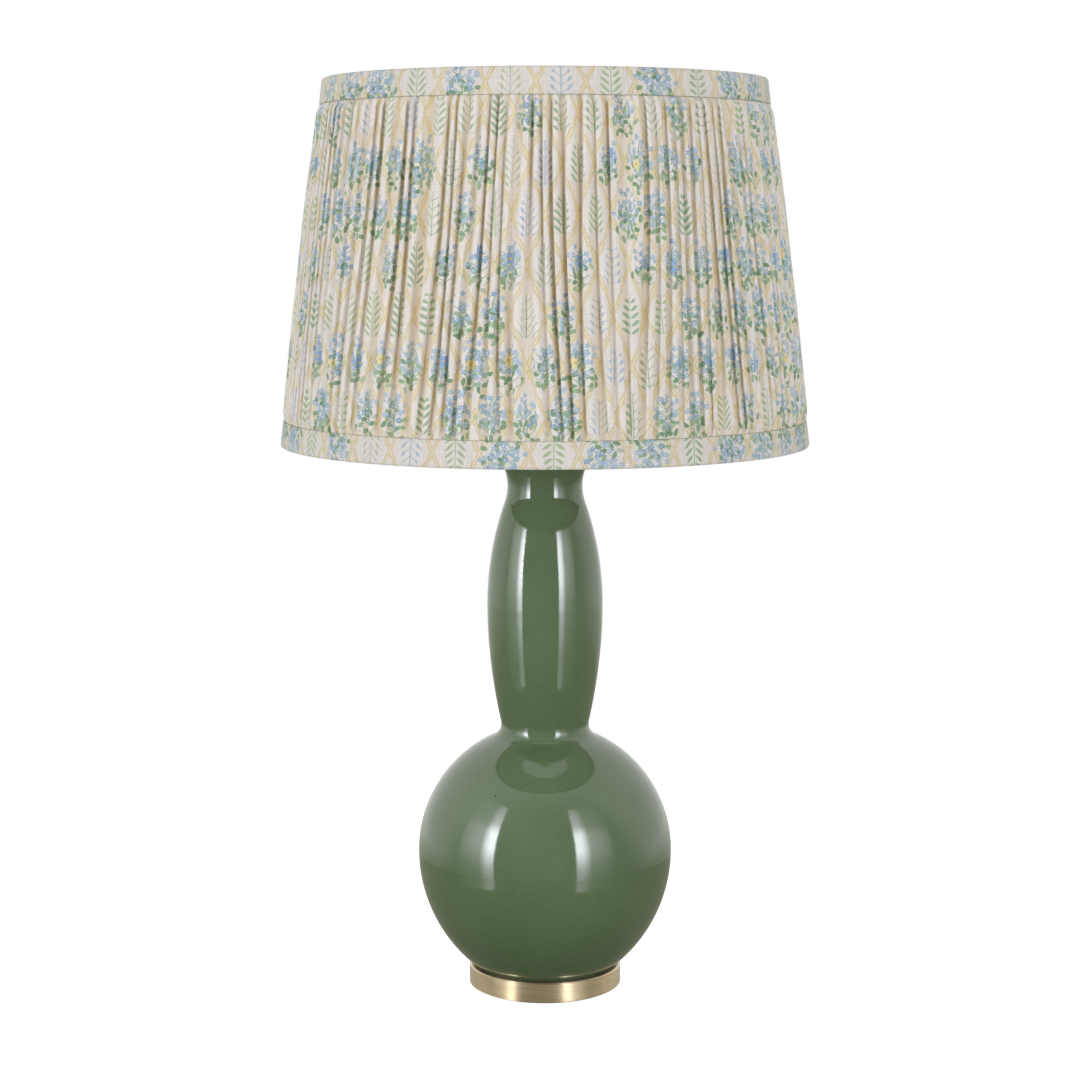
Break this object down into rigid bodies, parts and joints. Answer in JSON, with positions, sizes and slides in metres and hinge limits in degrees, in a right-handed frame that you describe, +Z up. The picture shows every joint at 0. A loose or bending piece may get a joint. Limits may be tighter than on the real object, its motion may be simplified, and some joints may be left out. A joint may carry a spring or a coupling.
{
  "type": "double gourd lamp",
  "caption": "Table lamp: glazed double gourd body on a round brass plinth, bulb socket with a turn switch, and a gathered empire shade of printed cloth carried on a harp.",
  "frame": {"origin": "the middle of the felt pad's underside, on the lamp's axis, where it stands", "axes": "+Z is up along the lamp's axis; -Y is the front, the side that the picture shows; +Y is the back, where the cord goes in; +X is the side with the switch knob"},
  "size_m": [0.3496, 0.3496, 0.6084],
  "materials": {
    "felt": "matte",
    "steel": "satin",
    "zinc_plate": "satin",
    "brushed_brass": "satin",
    "brass": "satin",
    "nickel": "polished",
    "gasket_rubber": "matte",
    "glaze": "gloss",
    "card": "matte",
    "moulded_black": "satin",
    "knob_black": "satin",
    "opal_glass": "satin",
    "black_glass": "gloss",
    "cap_aluminium": "satin",
    "solder": "satin",
    "white_enamel": "satin",
    "lining": "matte",
    "printed_cloth": "matte",
    "trim_cloth": "matte"
  },
  "bodies": {
    "lamp": {"felt_pad": "felt", "bottom_plate": "steel", "base_plinth": "brushed_brass", "cord_bush": "gasket_rubber", "rod_washer": "steel", "rod_nut": "steel", "lamp_rod": "zinc_plate", "foot_gasket": "gasket_rubber", "ceramic_body": "glaze", "cap_gasket": "gasket_rubber", "vase_cap": "brushed_brass", "neck_tube": "brushed_brass", "harp_saddle": "nickel", "saddle_nut": "brass", "harp": "nickel", "harp_stud": "brass", "socket_cap": "brass", "socket_shell": "brass", "socket_sleeve": "card", "socket_body": "moulded_black", "terminal_screws": "brass", "screw_shell": "brass", "centre_contact": "brass"},
    "switch": {"switch_shaft": "steel", "switch_knob": "knob_black"},
    "bulb_tip": {"bulb_contact": "solder"},
    "bulb": {"bulb_insulator": "black_glass", "bulb_cap": "cap_aluminium", "bulb_glass": "opal_glass"},
    "sleeve_left": {"harp_sleeve_left": "nickel"},
    "sleeve_right": {"harp_sleeve_right": "nickel"},
    "shade_seat": {"seat_washer": "brass"},
    "shade": {"spider_hub": "white_enamel", "spider_arms": "white_enamel", "shade_top_ring": "white_enamel", "shade_bottom_ring": "white_enamel", "shade_liner": "lining", "shade_cover": "printed_cloth", "top_trim": "trim_cloth", "bottom_trim": "trim_cloth"},
    "finial_nut": {"finial_insert": "brass"},
    "finial": {"finial_knob": "brushed_brass"}
  },
  "joints": [
    {"name": "switch_turn", "type": "hinge", "parent": "lamp", "child": "switch", "pos_m": [0.02, 0, 0.4063], "axis": [1, 0, 0], "continuous": true},
    {"name": "bulb_rise", "type": "slide", "parent": "lamp", "child": "bulb_tip", "axis": [0, 0, 1], "range_m": [0, 0.018]},
    {"name": "bulb_turn", "type": "hinge", "parent": "bulb_tip", "child": "bulb", "pos_m": [0, 0, 0.43], "axis": [0, 0, 1], "range_deg": [0, 1800]},
    {"name": "sleeve_left_slide", "type": "slide", "parent": "lamp", "child": "sleeve_left", "axis": [0, 0, 1], "range_m": [0, 0.015]},
    {"name": "sleeve_right_slide", "type": "slide", "parent": "lamp", "child": "sleeve_right", "axis": [0, 0, 1], "range_m": [0, 0.015]},
    {"name": "shade_lift", "type": "slide", "parent": "lamp", "child": "shade_seat", "axis": [0, 0, 1], "range_m": [0, 0.24]},
    {"name": "shade_swivel", "type": "hinge", "parent": "shade_seat", "child": "shade", "pos_m": [0, 0, 0.5904], "axis": [0, 0, 1], "continuous": true},
    {"name": "finial_rise", "type": "slide", "parent": "shade_seat", "child": "finial_nut", "axis": [0, 0, 1], "range_m": [0, 0.0094]},
    {"name": "finial_turn", "type": "hinge", "parent": "finial_nut", "child": "finial", "pos_m": [0, 0, 0.6], "axis": [0, 0, 1], "range_deg": [0, 3600]}
  ],
  "couplings": [
    {"joint": "bulb_rise", "follows": "bulb_turn", "m_per_rad": 0.00057296},
    {"joint": "finial_rise", "follows": "finial_turn", "m_per_rad": 0.00014961}
  ]
}
